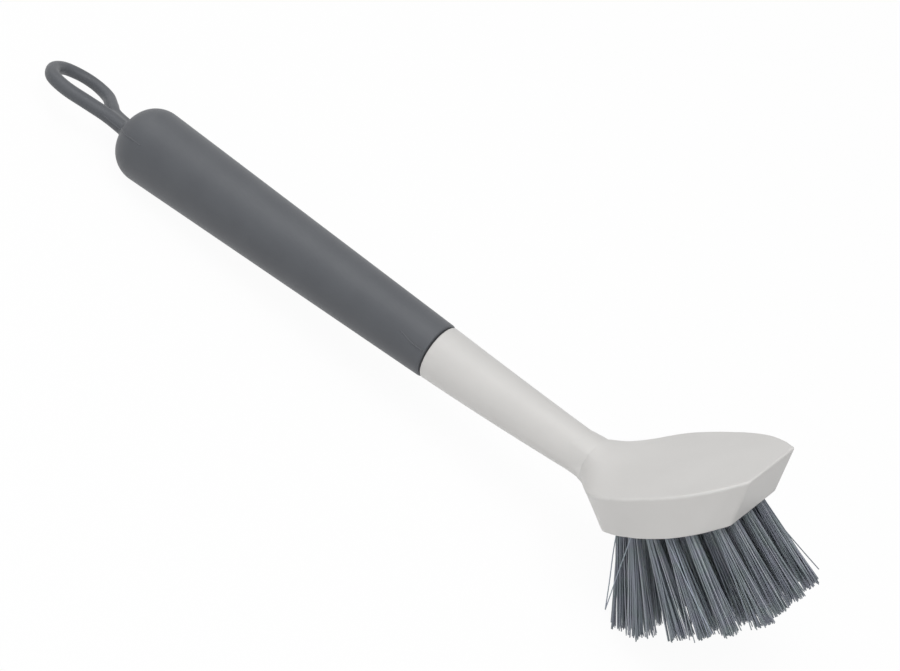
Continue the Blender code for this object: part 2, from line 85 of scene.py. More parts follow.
# Knots of the loop's centre line, in shares of its reach and its width
LOOP_PATH_SHARES = (
    (0.22, -0.106), (0.45, -0.210), (0.68, -0.324), (0.87, -0.272), (0.97, -0.050), (0.995, 0.162),
    (0.965, 0.389), (0.84, 0.589), (0.68, 0.662), (0.50, 0.585), (0.354, 0.345), (0.213, 0.150),
)
LOOP_ROOT_SHARES = (-0.116, 0.130)
# Radius of the loop's cord at each knot and at both roots
LOOP_RADII = (
    0.00220, 0.00220, 0.00220, 0.00220, 0.00220, 0.00220, 0.00212,
    0.00196, 0.00185, 0.00187, 0.00198, 0.00205, 0.00192, 0.00185,
)

# Fine raised line that the mould leaves: along both sides of the grip, worn away between its ends,
# and on the near leg of the loop. Its section goes by shares of its width across and of its height
# up, with None for the foot that is sunk in the surface.
PARTING_ANGLE = math.radians(31.0)
PARTING_MOUTH_ANGLE = math.radians(24.5)
PARTING_WIDTH = 0.00050
PARTING_HEIGHT = 0.00022
PARTING_WORN_SPAN = (0.0400, 0.1490)
PARTING_FADE = 0.0060
PARTING_SINK = 0.00025
PARTING_STEP = 0.0008
PARTING_ARC = math.radians(74.0)
PARTING_ARC_POINTS = 14
PARTING_SECTION = ((-0.5, None), (-0.5, 0.0), (-0.22, 1.0), (0.22, 1.0), (0.5, 0.0), (0.5, None))
LOOP_LINE_SPAN = (0.0250, 0.0345)
LOOP_LINE_FADE = 0.0030

# Tang and neck
RIB_COUNT = 4
RIB_WIDTH = 0.0030
RIB_HEIGHT = 0.0008
NECK_LENGTH = 0.0524
NECK_STEP = 0.0002
NECK_END_WIDTH = 0.0131
NECK_END_ABOVE = 0.00768
NECK_END_BELOW = 0.0050
NECK_BOW_ABOVE = 1.0
NECK_BOW_BELOW = -0.57
NECK_SHOULDER_ROUNDING = 0.00035
NECK_INSET_IN_HEAD = 0.0032
NECK_ROOT_BLEND = 0.0066
NECK_MERGE_RUN = 0.0118

# Head
HEAD_REACH = 0.0526
HEAD_FRONT_RISE = 0.0369
HEAD_TILT = math.radians(38.0)
HEAD_DEPTH = 0.0126
FOOT_DEPTH = 0.0132
FOOT_TAPER_END_SHARE = 1.2
RIM_ROUNDING = 0.0010
FOOT_ROUNDING = 0.0005
FRONT_EDGE_ROUNDING = 0.0007
CROWN_FADE_RUN = 0.0300
CROWN_FULLNESS = 2.7
CROWN_FLATTENING_RUN = 0.0120
BLEND_ABOVE = 0.0004
BLEND_BESIDE = 0.0042
BLEND_ABOVE_START = 0.70
BLEND_BELOW = 0.0006
BLEND_BELOW_FULL_AT = 0.5

# Outlines of the head's rim and base: place along the handle, half width there
RIM_OUTLINE = (
    (0.2050, 0.0), (0.2051, 0.0030), (0.2070, 0.0046), (0.2088, 0.0055), (0.2096, 0.0063),
    (0.2103, 0.0075), (0.2113, 0.0089), (0.2125, 0.0106), (0.2138, 0.0125), (0.2150, 0.0143),
    (0.2163, 0.0161), (0.2180, 0.0183), (0.2200, 0.0204), (0.2226, 0.0222), (0.2251, 0.0232),
    (0.2277, 0.0236), (0.2303, 0.0238), (0.2336, 0.0238), (0.2365, 0.0235), (0.2396, 0.0232),
    (0.2423, 0.0226), (0.2451, 0.0217), (0.2474, 0.0207), (0.2499, 0.0192), (0.2520, 0.0176),
    (0.2543, 0.0157), (0.2559, 0.0140), (0.2580, 0.0119), (0.2605, 0.0093), (0.2635, 0.0056),
    (0.2650, 0.0),
)
BASE_OUTLINE = (
    (0.2198, 0.0), (0.2200, 0.0026), (0.2205, 0.0054), (0.2215, 0.0083), (0.2231, 0.0114),
    (0.2250, 0.0142), (0.2265, 0.0161), (0.2283, 0.0173), (0.2312, 0.0188), (0.2341, 0.0197),
    (0.2382, 0.0207), (0.2422, 0.0209), (0.2453, 0.0207), (0.2482, 0.0199), (0.2507, 0.0187),
    (0.2532, 0.0170), (0.2560, 0.0141), (0.2580, 0.0119), (0.2610, 0.0084), (0.2640, 0.0040),
    (0.2650, 0.0),
)
OUTLINE_DIVISIONS = 5

# Bristle tufts and their holes
TUFTS_PER_ROW = (4, 5, 5, 6, 5, 4)
ROW_LEAN_DEGREES = (-11.5, -3.5, 12.0, 15.5, 16.4, 18.6)
ROW_EDGES = (0.01070, 0.01368, 0.01498, 0.01523, 0.01432, 0.01021)
FIRST_ROW_BACK = 0.04744
LAST_ROW_BACK = 0.01644
LEAN_AT_ROW_END = math.radians(10.5)
HOLE_DEPTH = 0.0073
HOLE_RADIUS = 0.00165
HOLE_SEARCH_HEIGHT = 1.5 * HOLE_DEPTH
BUNDLE_RADIUS = 0.00142
STRAND_SPACING = 0.00034
STRAND_PACKING_ANGLE = math.radians(60.0)
STRAND_RADIUS = 0.000158
STRAND_SIDES = 6
STRAND_STEPS = 8
STRAND_LENGTH = 0.0310
LENGTH_SCATTER = 0.0008
ROW_SPLAY_DEGREES = (2.6, 4.5, 4.3, 3.1, 2.0, 1.8)
ROW_STRAIGHTENING_DEGREES = (2.5, 0.0, 0.0, 0.0, 1.5, 5.4)
ROW_LEAN_AHEAD_DEGREES = (1.8, -1.2, 0.0, 0.0, 0.0, 0.0)
STRAND_SCATTER = math.radians(0.8)
WILD_STRAND_SHARE = 0.08
WILD_STRAND_SCATTER = math.radians(2.4)
TUFT_SCATTER = math.radians(0.45)
STRAND_BOW = 0.0007
STRAND_BOW_RETURN = 0.3
ANCHOR_DEPTH = 0.0049
ANCHOR_HALF_HEIGHT = 0.0010
STRANDS_APART_AT_ANCHOR = 0.00040
SQUEEZE_AT_ANCHOR = 0.85
FOLD_ANGLES = [math.radians(degrees) for degrees in (30.0, 60.0, 90.0, 120.0, 150.0)]
FOLD_LIFT_SHARE = 1.0 / 3.0
RANDOM_SEED = 7

# Strands that have come loose: points along each. The first two are the halves of one that is bent
# into a V at the side of the head, and the others cross the near tufts.
LOOSE_STRANDS = (
    ((0.2281, -0.0122, -0.0005), (0.2304, -0.0135, -0.0091), (0.2335, -0.0150, -0.0182),
     (0.2363, -0.0165, -0.0267)),
    ((0.2346, -0.0166, 0.0035), (0.2353, -0.0176, -0.0005), (0.2358, -0.0172, -0.0139),
     (0.2363, -0.0165, -0.0267)),
    ((0.2425, -0.0172, 0.0100), (0.2455, -0.0182, 0.0083), (0.2575, -0.0213, 0.0019),
     (0.2695, -0.0236, -0.0046)),
    ((0.2438, -0.0172, 0.0112), (0.2471, -0.0182, 0.0093), (0.2587, -0.0212, 0.0013),
     (0.2690, -0.0233, -0.0064)),
)
LOOSE_DIVISIONS = 6
LOOSE_PALENESS = 1.7

# Grids, whose spans along an axis are start, end and step
GRIP_SPANS_ALONG = (
    (-0.0010, 0.0500, 0.00036), (0.0500, 0.1480, 0.00060), (0.1480, 0.1516, 0.00024),
    (0.1516, 0.1540, 0.00012),
)
GRIP_GRID_SIDE = GRIP_BACK_RADIUS + 0.0010
GRIP_SPAN_ACROSS = (-GRIP_GRID_SIDE, GRIP_GRID_SIDE, 0.00036)
HEAD_SPANS_ALONG = (
    (0.0480, 0.1500, 0.00080), (0.1500, 0.1526, 0.00030), (0.1526, 0.1536, 0.00012),
    (0.1536, 0.2040, 0.00055), (0.2040, 0.2590, 0.00040),
)
HEAD_SPAN_ACROSS = (-0.0240, 0.0240, 0.00040)
HEAD_SPAN_UP = (-0.0105, 0.0380, 0.00040)
QUICK_COARSENING = 1.0
PLANES_AT_ONCE = 16
SLOPE_STEP = 0.00004
LEAST_SQUARED_SLOPE = 0.3
SETTLING_ROUNDS = 3
MOST_MOVE = 0.0003
FAR_AWAY = 1.0
LEAST_BLEND = CLEARANCE / 100
LEAST_RADIUS = 1e-6
TINY = 1e-9

# What follows from the sizes above
RING_X = LOOP_REACH + GRIP_LENGTH
NECK_START_X = RING_X + MOUTH_GAP
NECK_END_X = RING_X + NECK_LENGTH
HEAD_FRONT_X = NECK_END_X + HEAD_REACH
ACROSS = Vector((0.0, 1.0, 0.0))
HEAD_FORWARD = Vector((math.cos(HEAD_TILT), 0.0, math.sin(HEAD_TILT)))
HEAD_DOWN = Vector((math.sin(HEAD_TILT), 0.0, -math.cos(HEAD_TILT)))
HEAD_TOP_FRONT = Vector((HEAD_FRONT_X, 0.0, HEAD_FRONT_RISE))
LYING = Matrix.Translation(LYING_PLACE) @ Matrix.Rotation(-LYING_PITCH, 4, "Y")


# Fields

def cut_round(a, b, radius):
    """What lies in both of two fields, with the edge between them rounded."""
    return np.minimum(-radius, np.maximum(a, b)) + np.hypot(
        np.maximum(radius + a, 0.0), np.maximum(radius + b, 0.0))


def join_round(a, b, radius):
    """What lies in either of two fields, with the corner between them filled to a radius."""
    return np.maximum(radius, np.minimum(a, b)) - np.hypot(
        np.maximum(radius - a, 0.0), np.maximum(radius - b, 0.0))


def ease(value):
    """A smooth step, which rises from 0 to 1 as the value does."""
    value = np.clip(value, 0.0, 1.0)
    return value * value * (3.0 - 2.0 * value)


def along_curve(knots, divisions):
    """Points on a smooth curve through knots."""
    knots = np.asarray(knots, float)
    padded = np.vstack([2.0 * knots[0] - knots[1], knots, 2.0 * knots[-1] - knots[-2]])
    points = []
    for before, start, end, after in zip(padded, padded[1:], padded[2:], padded[3:]):
        for step in range(divisions):
            t = step / divisions
            points.append(0.5 * (2.0 * start + (end - before) * t
                                 + (2.0 * before - 5.0 * start + 4.0 * end - after) * t ** 2
                                 + (3.0 * start - before - 3.0 * end + after) * t ** 3))
    points.append(knots[-1])
    return np.array(points)


def cord_distance(points, radii, x, y, z):
    """Distance from a cord through points, worked out only near the loop."""
    x, y, z = np.broadcast_arrays(x, y, z)
    distance = np.full(x.shape, FAR_AWAY)
    near = x < LOOP_REACH + GRIP_BACK_ROUNDING
    x, y, z = x[near], y[near], z[near]
    best = np.full(x.shape, FAR_AWAY)
    for start, end, radius, end_radius in zip(points, points[1:], radii, radii[1:]):
        run = end - start
        from_x, from_y, from_z = x - start[0], y - start[1], z - start[2]
        share = (from_x * run[0] + from_y * run[1] + from_z * run[2]) / (run @ run)
        share = np.clip(share, 0.0, 1.0)
        gap = ((from_x - share * run[0]) ** 2 + (from_y - share * run[1]) ** 2
               + (from_z - share * run[2]) ** 2)
        best = np.minimum(best, np.sqrt(gap) - radius - (end_radius - radius) * share)
    distance[near] = best
    return distance


def outline_distance(outline, x, y):
    """Distance from a closed outline that is the same on both sides, negative inside, in the
    plane of the head's top."""
    x, y = np.broadcast_arrays(x / math.cos(HEAD_TILT), np.abs(y))
    best = np.full(x.shape, FAR_AWAY)
    inside = np.zeros(x.shape, bool)
    for (x0, y0), (x1, y1) in zip(outline, outline[1:]):
        run_x, run_y = x1 - x0, y1 - y0
        share = ((x - x0) * run_x + (y - y0) * run_y) / (run_x ** 2 + run_y ** 2)
        share = np.clip(share, 0.0, 1.0)
        best = np.minimum(best, (x - x0 - share * run_x) ** 2 + (y - y0 - share * run_y) ** 2)
        inside |= (x >= x0) & (x < x1) & (y < y0 + run_y * (x - x0) / max(run_x, TINY))
    return np.where(inside, -np.sqrt(best), np.sqrt(best))


def head_outline(table):
    """An outline's curve, stretched from its place along the handle into the plane of the top."""
    points = along_curve(table, OUTLINE_DIVISIONS)
    points[:, 0] = np.maximum.accumulate(points[:, 0]) / math.cos(HEAD_TILT)
    points[:, 1] = np.maximum(points[:, 1], 0.0)
    return points


# Grip sleeve with its hanging loop

def loop_line():
    """Centre line of the hanging loop."""
    reach = LOOP_REACH - LOOP_CORD / 2
    flat = [(-LOOP_ROOT_DEPTH, LOOP_ROOT_SHARES[0] * LOOP_WIDTH)]
    flat += [(out * reach, side * LOOP_WIDTH) for out, side in LOOP_PATH_SHARES]
    flat += [(-LOOP_ROOT_DEPTH, LOOP_ROOT_SHARES[1] * LOOP_WIDTH)]
    turn = Matrix.Rotation(LOOP_LIFT, 4, "Y") @ Matrix.Rotation(LOOP_ROLL, 4, "X")
    hinge = Matrix.Translation((LOOP_REACH, 0.0, 0.0))
    knots = [hinge @ turn @ Vector((-out, side, 0.0)) for out, side in flat]
    return along_curve(knots, LOOP_DIVISIONS)


def grip_side_radius(along):
    """Radius of the sleeve's tapered side."""
    share = (along - GRIP_BACK_ROUNDING) / (GRIP_LENGTH - GRIP_BACK_ROUNDING)
    share = np.clip(share, 0.0, GRIP_TAPER_END_SHARE)
    return GRIP_BACK_RADIUS + (GRIP_FRONT_RADIUS - GRIP_BACK_RADIUS) * share


def grip_body(x, y, z):
    """The sleeve without its loop or bore."""
    along = x - LOOP_REACH
    side = np.hypot(y, z) - grip_side_radius(along)
    body = cut_round(side, -along, GRIP_BACK_ROUNDING)
    return cut_round(body, along - GRIP_LENGTH, GRIP_LIP_ROUNDING)


def core_radius(along):
    """Radius of the tang, with its ribs."""
    pitch = (GRIP_LENGTH - GRIP_END_WALL) / (RIB_COUNT + 1)
    radius = grip_side_radius(along) - GRIP_WALL - CLEARANCE
    for rib in range(1, RIB_COUNT + 1):
        off = np.abs(along - GRIP_END_WALL - pitch * rib) - RIB_WIDTH / 2
        radius = radius + RIB_HEIGHT * ease(0.5 - off / RIB_HEIGHT)
    return radius


LOOP_LINE = loop_line()
LOOP_HALF = int(np.argmin(LOOP_LINE[:, 0]))
LOOP_KNOT_NUMBERS = np.arange(len(LOOP_LINE)) / LOOP_DIVISIONS
LOOP_LINE_RADII = np.interp(LOOP_KNOT_NUMBERS, range(len(LOOP_RADII)), LOOP_RADII)


def grip_field(x, y, z):
    """The sleeve with its bore and its loop, whose legs have a web between them near the
    sleeve."""
    legs = [cord_distance(LOOP_LINE[part], LOOP_LINE_RADII[part], x, y, z)
            for part in (slice(None, LOOP_HALF + 1), slice(LOOP_HALF, None))]
    web = LOOP_WEB_BLEND * ease((x - LOOP_WEB_START) / LOOP_WEB_RUN) + LEAST_BLEND
    loop = join_round(legs[0], legs[1], web)
    whole = join_round(grip_body(x, y, z), loop, LOOP_ROOT_BLEND)
    along = x - LOOP_REACH
    bore = np.maximum(np.hypot(y, z) - core_radius(along) - CLEARANCE, GRIP_END_WALL - along)
    return np.maximum(whole, -bore)


# Head with its neck and tang

RIM_LINE = head_outline(RIM_OUTLINE)
BASE_LINE = head_outline(BASE_OUTLINE)


def neck_field(x, y, z):
    """The neck, which runs on inside the head."""
    share = np.clip((x - RING_X) / NECK_LENGTH, 0.0, 1.0)
    start = GRIP_FRONT_RADIUS - NECK_STEP
    half_width = start + (NECK_END_WIDTH / 2 - start) * share
    middle = share * (1.0 - share)
    above = start + (NECK_END_ABOVE - start) * (share + NECK_BOW_ABOVE * middle)
    below = start + (NECK_END_BELOW - start) * (share + NECK_BOW_BELOW * middle)
    height = np.where(z > 0.0, above, below)
    reach = np.hypot(y / half_width, z / height)
    steepness = np.hypot(y / half_width ** 2, z / height ** 2)
    oval = reach * (reach - 1.0) / np.maximum(steepness, 1.0)
    return cut_round(oval, NECK_START_X - x, NECK_SHOULDER_ROUNDING)


def above_top(x, z):
    """Height over the plane of the head's top."""
    return (z - HEAD_FRONT_RISE) * math.cos(HEAD_TILT) - (x - HEAD_FRONT_X) * math.sin(HEAD_TILT)


def over_top_plane(x):
    """Height of the neck's top over the plane of the head's top."""
    return NECK_END_ABOVE - HEAD_FRONT_RISE - (x - HEAD_FRONT_X) * math.tan(HEAD_TILT)


def crown(x, y):
    """How far the top stands over its plane, where the neck runs out on it."""
    over = over_top_plane(x)
    climb = (np.hypot(over, NECK_ROOT_BLEND) - over) / 2
    rise = over + climb * ease((x - NECK_END_X) / NECK_MERGE_RUN)
    rise = rise * ease((HEAD_FRONT_X - x) / CROWN_FADE_RUN)
    half_width = np.interp(x, RIM_LINE[:, 0] * math.cos(HEAD_TILT), RIM_LINE[:, 1])
    across = np.minimum(np.abs(y) / np.maximum(half_width, NECK_END_WIDTH / 2), 1.0)
    flatter = ease((x - NECK_END_X) / CROWN_FLATTENING_RUN)
    oval = np.sqrt(1.0 - across ** 2)
    return rise * (oval + (1.0 - across ** CROWN_FULLNESS - oval) * flatter)


def head_block(x, y, z):
    """The head without its neck or holes."""
    depth = -above_top(x, z)
    share = np.clip(depth / FOOT_DEPTH, 0.0, FOOT_TAPER_END_SHARE)
    rim = outline_distance(RIM_LINE, x, y)
    base = outline_distance(BASE_LINE, x, y)
    wall = rim + (base - rim) * share
    block = cut_round(wall, x - HEAD_FRONT_X, FRONT_EDGE_ROUNDING)
    block = cut_round(block, above_top(x, z - crown(x, y)), RIM_ROUNDING)
    return cut_round(block, depth - FOOT_DEPTH, FOOT_ROUNDING)


def blend_radius(y, z):
    """Radius of the fillet between the neck and the head, widest beside the neck."""
    up = z / np.maximum(np.hypot(y, z), LEAST_RADIUS)
    upper = BLEND_BESIDE + (BLEND_ABOVE - BLEND_BESIDE) * ease(
        (up - BLEND_ABOVE_START) / (1.0 - BLEND_ABOVE_START))
    return upper + (BLEND_BELOW - BLEND_BESIDE) * ease(-up / BLEND_BELOW_FULL_AT)


def tuft_layout():
    """For every tuft, the place of its hole's mouth with local Z along the tuft, its row, and its
    place in the row from -1 to 1."""
    layout = []
    last = len(TUFTS_PER_ROW) - 1
    for row, (count, lean, edge) in enumerate(zip(TUFTS_PER_ROW, ROW_LEAN_DEGREES, ROW_EDGES)):
        back = FIRST_ROW_BACK + (LAST_ROW_BACK - FIRST_ROW_BACK) * row / last
        for column in range(count):
            share = 2.0 * column / (count - 1) - 1.0
            mouth = HEAD_TOP_FRONT - HEAD_FORWARD * back + HEAD_DOWN * HEAD_DEPTH
            mouth += ACROSS * edge * share
            ahead = HEAD_FORWARD * math.tan(math.radians(lean))
            sideways = ACROSS * math.tan(LEAN_AT_ROW_END * share)
            z_axis = (HEAD_DOWN + ahead + sideways).normalized()
            x_axis = ACROSS.cross(z_axis).normalized()
            y_axis = z_axis.cross(x_axis)
            turn = Matrix((x_axis, y_axis, z_axis)).transposed().to_4x4()
            layout.append((Matrix.Translation(mouth) @ turn, row, share))
    return layout


TUFTS = tuft_layout()


def cut_holes(solid, x, y, z):
    """The head with its blind tuft holes cut in."""
    x, y, z = np.broadcast_arrays(x, y, z)
    height = -above_top(x, z) - HEAD_DEPTH
    near = np.abs(height) < HOLE_SEARCH_HEIGHT
    x, y, z = x[near], y[near], z[near]
    kept = solid[near]
    for place, _, _ in TUFTS:
        mouth, axis = place.translation, place.to_3x3().col[2]
        from_x, from_y, from_z = x - mouth.x, y - mouth.y, z - mouth.z
        out = from_x * axis.x + from_y * axis.y + from_z * axis.z
        apart = np.sqrt(np.maximum(from_x ** 2 + from_y ** 2 + from_z ** 2 - out ** 2, 0.0))
        hole = np.maximum(apart - HOLE_RADIUS, -out - HOLE_DEPTH)
        kept = np.maximum(kept, -hole)
    solid = solid.copy()
    solid[near] = kept
    return solid


def head_field(x, y, z):
    """The head with its neck, tang and tuft holes."""
    neck = np.maximum(neck_field(x, y, z), -above_top(x, z) - HEAD_DEPTH + NECK_INSET_IN_HEAD)
    whole = join_round(neck, head_block(x, y, z), blend_radius(y, z))
    along = x - LOOP_REACH
    tang = np.maximum(np.hypot(y, z) - core_radius(along), GRIP_END_WALL + CLEARANCE - along)
    tang = np.maximum(tang, x - RING_X - GRIP_WALL)
    return cut_holes(np.minimum(whole, tang), x, y, z)


# Meshes

def graded(*spans):
    """Grid places along one axis, from spans of (start, end, step) that follow on."""
    places = []
    for start, end, step in spans:
        count = max(round((end - start) / (step * QUICK_COARSENING)), 1)
        places.append(np.linspace(start, end, count, endpoint=False))
    places.append([spans[-1][1]])
    return np.concatenate(places)


def sampled(field, axes):
    """Values of a field on a grid, a few planes at a time."""
    xs, ys, zs = axes
    values = np.empty([len(places) for places in axes], np.float32)
    for start in range(0, len(xs), PLANES_AT_ONCE):
        planes = slice(start, start + PLANES_AT_ONCE)
        values[planes] = field(xs[planes, None, None], ys[None, :, None], zs[None, None, :])
    return values


def surface_net(values, axes):
    """Surface where gridded values change sign: a vertex in each crossed cell, and a face round
    each crossed grid line."""
    strides = np.array((values.shape[1] * values.shape[2], values.shape[2], 1))
    rounds, crossings = [], []
    for axis in range(3):
        near = np.moveaxis(values, axis, 0)[:-1]
        far = np.moveaxis(values, axis, 0)[1:]
        index = np.argwhere((near < 0.0) != (far < 0.0))
        near, far = near[tuple(index.T)], far[tuple(index.T)]
        rest = [other for other in range(3) if other != axis]
        index = index[:, np.argsort([axis] + rest)]
        crossing = np.stack([axes[d][index[:, d]] for d in range(3)], 1)
        step = axes[axis][index[:, axis] + 1] - crossing[:, axis]
        crossing[:, axis] += step * near / (near - far)
        cell = index @ strides
        u, v = strides[(axis + 1) % 3], strides[(axis + 2) % 3]
        cells = np.stack([cell - u - v, cell - v, cell, cell - u], 1)
        cells[near > 0.0] = cells[near > 0.0][:, ::-1]
        rounds.append(cells)
        crossings.append(crossing)
    crossings = np.concatenate(crossings)
    used, faces = np.unique(np.concatenate(rounds), return_inverse=True)
    faces = faces.reshape(-1, 4)
    count = np.bincount(faces.ravel(), minlength=len(used))
    sums = [np.bincount(faces.ravel(), np.repeat(crossings[:, d], 4), len(used))
            for d in range(3)]
    return np.stack(sums, 1) / count[:, None], faces


def field_slope(field, spots, step):
    """A field's slope at some spots, in the handle's coordinates."""
    slope = np.empty_like(spots)
    for axis in range(3):
        off = np.zeros(3)
        off[axis] = step
        slope[:, axis] = (field(*(spots + off).T) - field(*(spots - off).T)) / (2 * step)
    return slope


def settled(field, spots):
    """Spots moved onto a field's surface along its slope."""
    for _ in range(SETTLING_ROUNDS):
        slope = field_slope(field, spots, SLOPE_STEP)
        move = field(*spots.T) / np.maximum((slope ** 2).sum(1), LEAST_SQUARED_SLOPE)
        spots = spots - slope * np.clip(move, -MOST_MOVE, MOST_MOVE)[:, None]
    return spots


def laid_down(points):
    """Points of the handle's coordinates in the lying pose."""
    turn = np.array(LYING.to_3x3())
    return np.asarray(points) @ turn.T + np.array(LYING.translation)


def add_object(name, data):
    """An object in the scene, with the data given."""
    added = bpy.data.objects.new(name, data)
    bpy.context.scene.collection.objects.link(added)
    return added


def mesh_piece(name, points, faces, material):
    """A smooth piece in the lying pose, from points in the handle's coordinates."""
    mesh = bpy.data.meshes.new(name)
    mesh.from_pydata(laid_down(points).tolist(), [], faces)
    mesh.materials.append(material)
    mesh.shade_smooth()
    return add_object(name, mesh)


def field_piece(name, field, axes, material):
    """A piece whose surface is where a field is zero, shaded by the field's own slope."""
    points, faces = surface_net(sampled(field, axes), axes)
    points = settled(field, points)
    piece = mesh_piece(name, points, faces.tolist(), material)
    slope = field_slope(field, points, 2 * SLOPE_STEP)
    slope /= np.maximum(np.linalg.norm(slope, axis=1), TINY)[:, None]
    turned = slope @ np.array(LYING.to_3x3()).T
    piece.data.normals_split_custom_set_from_vertices(turned.tolist())
    return piece


def tube_faces(stations, sides, first=0):
    """Faces of a closed tube whose rings follow each other in the list of points."""
    faces = []
    for station in range(stations - 1):
        low = first + station * sides
        for corner in range(sides):
            after = (corner + 1) % sides
            faces.append((low + corner, low + after, low + sides + after, low + sides + corner))
    last = first + (stations - 1) * sides
    faces.append(tuple(range(first + sides - 1, first - 1, -1)))
    faces.append(tuple(range(last, last + sides)))
    return faces


def dress(piece, slot, *nodes):
    """Hang a piece on the root and hide the imported solids that it stands for; the slot is not
    used.
    """
    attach(piece, "root")
    if nodes:
        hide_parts(*nodes)


# Grip and head

def make_grip(material):
    across = graded(GRIP_SPAN_ACROSS)
    axes = (graded(*GRIP_SPANS_ALONG), across, across)
    dress(field_piece("grip_with_loop", grip_field, axes, material), "grip", "grip_sleeve")


def make_head(material):
    axes = (graded(*HEAD_SPANS_ALONG), graded(HEAD_SPAN_ACROSS), graded(HEAD_SPAN_UP))
    dress(field_piece("head_with_neck", head_field, axes, material), "head", "head_and_neck")


# Raised lines of the mould, on the grip and its loop

def raised_line(name, line, outward, height, material):
    """A fine bead along a line, whose foot is sunk in the surface under it."""
    run = np.gradient(line, axis=0)
    beside = np.cross(run, outward)
    beside /= np.linalg.norm(beside, axis=1)[:, None]
    rings = []
    for across, up in PARTING_SECTION:
        lift = np.full(len(line), -PARTING_SINK) if up is None else height * up
        rings.append(line + beside * across * PARTING_WIDTH + outward * lift[:, None])
    points = np.stack(rings, 1).reshape(-1, 3)
    faces = tube_faces(len(line), len(PARTING_SECTION))
    dress(mesh_piece(name, points, faces, material), "grip")


def make_parting_lines(material):
    """What is left of the line along each side of the grip, at its mouth and at its back."""
    arc = np.linspace(0.0, 1.0, PARTING_ARC_POINTS)[1:] * PARTING_ARC
    bend = GRIP_BACK_ROUNDING
    flat = GRIP_BACK_RADIUS - GRIP_BACK_ROUNDING
    along = np.arange(GRIP_LENGTH - GRIP_LIP_ROUNDING, bend, -PARTING_STEP)
    radius = np.concatenate([grip_side_radius(along), flat + bend * np.cos(arc)])
    along = LOOP_REACH + np.concatenate([along, bend * (1.0 - np.sin(arc))])
    fresh_back = ease((PARTING_WORN_SPAN[0] - along) / PARTING_FADE + 1.0)
    fresh_mouth = ease((along - PARTING_WORN_SPAN[1]) / PARTING_FADE + 1.0)
    angle = PARTING_ANGLE + (PARTING_MOUTH_ANGLE - PARTING_ANGLE) * fresh_mouth
    for label, side in (("near", -1.0), ("far", 1.0)):
        out = np.stack([np.zeros_like(angle), side * np.cos(angle), -side * np.sin(angle)], 1)
        line = out * radius[:, None]
        line[:, 0] = along
        outward = out.copy()
        outward[:, 0] = -np.gradient(radius, along)
        outward /= np.linalg.norm(outward, axis=1)[:, None]
        for end, fresh in (("back", fresh_back), ("mouth", fresh_mouth)):
            left = fresh > 0.0
            raised_line(f"parting_line_{label}_{end}", line[left], outward[left],
                        PARTING_HEIGHT * fresh[left], material)


def make_loop_line(material):
    """The line along the outer side of the loop's near leg."""
    start, end = LOOP_LINE_SPAN
    along = LOOP_LINE[:, 0]
    chosen = (np.arange(len(along)) <= LOOP_HALF) & (along > start) & (along < end)
    leg, radius = LOOP_LINE[chosen], LOOP_LINE_RADII[chosen]
    normal = np.array((0.0, -math.sin(LOOP_ROLL), math.cos(LOOP_ROLL)))
    outward = np.cross(normal, np.gradient(leg, axis=0))
    outward /= np.linalg.norm(outward, axis=1)[:, None]
    height = PARTING_HEIGHT * ease((leg[:, 0] - start) / LOOP_LINE_FADE)
    raised_line("loop_line", leg + outward * radius[:, None], outward, height, material)


# Bristles

def bundle_places():
    """Places of the folded strands on one side of a tuft's anchor, in the mouth of its hole."""
    places = []
    row_step = STRAND_SPACING * math.sin(STRAND_PACKING_ANGLE)
    rows = int(BUNDLE_RADIUS / row_step) + 1
    for row in range(rows):
        across = STRAND_SPACING / 2 + row * row_step
        shift = STRAND_SPACING / 2 if row % 2 else 0.0
        for column in range(-rows - 1, rows + 2):
            beside = column * STRAND_SPACING + shift
            if math.hypot(across, beside) < BUNDLE_RADIUS:
                places.append((across, beside))
    return places


def strand_end(place, splay, lean, bow, length, floor):
    """Points of a strand from the hole's mouth to its tip, in the tuft's coordinates, cut short
    where it would reach into the floor's plane."""
    spread = np.array(place) / BUNDLE_RADIUS * math.tan(splay)
    run = np.array((*(spread + lean), 1.0))
    run /= np.linalg.norm(run)
    shares = np.linspace(0.0, 1.0, STRAND_STEPS)
    points = np.array((*place, 0.0)) + np.outer(shares, run * length)
    points[:, :2] += np.outer(shares ** 2 - STRAND_BOW_RETURN * shares, bow)
    height = points @ floor[:3] + floor[3]
    if height[-1] < STRAND_RADIUS:
        keep = (height[0] - STRAND_RADIUS) / (height[0] - height[-1])
        stations = np.linspace(0.0, keep, STRAND_STEPS)
        points = np.stack([np.interp(stations, shares, points[:, d]) for d in range(3)], 1)
    return points


def folded_part(place):
    """Points of a strand from the hole's mouth on one side, round the anchor, to the other."""
    across, beside = place
    apart = STRANDS_APART_AT_ANCHOR + (across - STRAND_SPACING / 2) * SQUEEZE_AT_ANCHOR
    beside_anchor = beside * SQUEEZE_AT_ANCHOR
    top = -(ANCHOR_DEPTH - ANCHOR_HALF_HEIGHT)
    bottom = -(ANCHOR_DEPTH + ANCHOR_HALF_HEIGHT) + apart * FOLD_LIFT_SHARE
    points = [(apart, beside_anchor, top), (apart, beside_anchor, bottom)]
    for angle in FOLD_ANGLES:
        points.append((apart * math.cos(angle), beside_anchor, bottom - apart * math.sin(angle)))
    points += [(-apart, beside_anchor, bottom), (-apart, beside_anchor, top)]
    return np.array(points)


